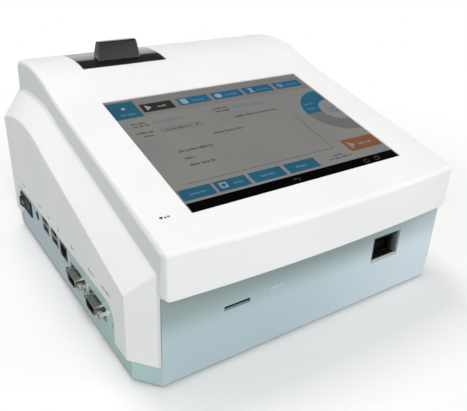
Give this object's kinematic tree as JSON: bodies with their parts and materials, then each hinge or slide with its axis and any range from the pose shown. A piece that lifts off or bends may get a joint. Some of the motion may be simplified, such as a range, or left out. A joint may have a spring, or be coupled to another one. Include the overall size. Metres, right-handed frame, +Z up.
{
  "type": "immunofluorescence analyzer",
  "caption": "Bench immunofluorescence analyzer with a tilted touch screen, printer lid, cassette port and side sockets.",
  "frame": {"origin": "on the table, under the middle of the whole box", "axes": "+X to the right as seen from the front, front towards -Y, +Z up"},
  "size_m": [0.2854, 0.271, 0.171],
  "materials": {
    "white_shell": "satin",
    "blue_base": "satin",
    "screen_glass": "gloss",
    "display_metal": "satin",
    "sheet_steel": "satin",
    "steel": "satin",
    "brass": "satin",
    "nickel_plate": "satin",
    "black_plastic": "matte",
    "dark_lid": "satin",
    "grey_plastic": "satin",
    "beige_plastic": "satin",
    "light_lens": "gloss",
    "rubber": "matte",
    "paper": "matte",
    "circuit_board": "satin",
    "black_metal": "satin",
    "heat_sink_metal": "matte",
    "white_gear": "satin",
    "lens_glass": "gloss"
  },
  "bodies": {
    "case": {"base_tray": "blue_base", "board_screws": "steel", "case_screws": "steel", "chip_board": "circuit_board", "chip_socket": "black_plastic", "dc_jack": "black_plastic", "detector_module": "circuit_board", "display_bracket": "sheet_steel", "display_module": "display_metal", "display_screws": "steel", "door_hinge_pin": "steel", "guide_rods": "steel", "heat_sink": "heat_sink_metal", "lamp_tube": "heat_sink_metal", "lan_jack": "black_plastic", "main_board": "circuit_board", "objective_lens": "lens_glass", "optics_bridge": "sheet_steel", "optics_housing": "black_metal", "port_bezel": "beige_plastic", "port_panel": "blue_base", "print_head": "black_metal", "printer_frame": "grey_plastic", "printer_motor": "sheet_steel", "printer_screws": "steel", "rubber_feet": "rubber", "serial_inserts": "black_plastic", "serial_jackscrews": "nickel_plate", "serial_port_front": "nickel_plate", "serial_port_rear": "nickel_plate", "stage_frame": "sheet_steel", "stage_motor": "black_metal", "standoffs": "brass", "status_light": "light_lens", "switch_housing": "black_plastic", "tear_bar": "steel", "top_shell": "white_shell", "touch_panel": "screen_glass", "usb_stack_front": "nickel_plate", "usb_stack_rear": "nickel_plate"},
    "lid": {"printer_door": "dark_lid"},
    "platen": {"platen_roller": "rubber", "platen_shaft": "steel", "platen_gear": "white_gear"},
    "paper": {"paper_roll": "paper"},
    "tray": {"cassette_tray": "beige_plastic"},
    "pinion": {"drive_pinion": "white_gear", "motor_shaft": "steel"},
    "rocker": {"power_rocker": "black_plastic"}
  },
  "joints": [
    {"name": "lid_hinge", "type": "hinge", "parent": "case", "child": "lid", "pos_m": [-0.04983, 0.1165, 0.15001], "axis": [-1, 0, 0], "range_deg": [0, 80]},
    {"name": "platen_turn", "type": "hinge", "parent": "lid", "child": "platen", "pos_m": [-0.04983, 0.0862, 0.14572], "axis": [1, 0, 0], "continuous": true},
    {"name": "paper_turn", "type": "hinge", "parent": "case", "child": "paper", "pos_m": [-0.04983, 0.099, 0.1168], "axis": [1, 0, 0], "continuous": true},
    {"name": "tray_slide", "type": "slide", "parent": "case", "child": "tray", "axis": [0, -1, 0], "range_m": [0, 0.062]},
    {"name": "pinion_turn", "type": "hinge", "parent": "case", "child": "pinion", "pos_m": [0.0969, -0.033, 0.0348], "axis": [0, 0, 1], "continuous": true},
    {"name": "rocker_tilt", "type": "hinge", "parent": "case", "child": "rocker", "pos_m": [-0.1348, 0.1072, 0.032], "axis": [0, 0, -1], "range_deg": [0, 16]}
  ],
  "couplings": [
    {"joint": "pinion_turn", "follows": "tray_slide", "rad_per_m": 125}
  ]
}
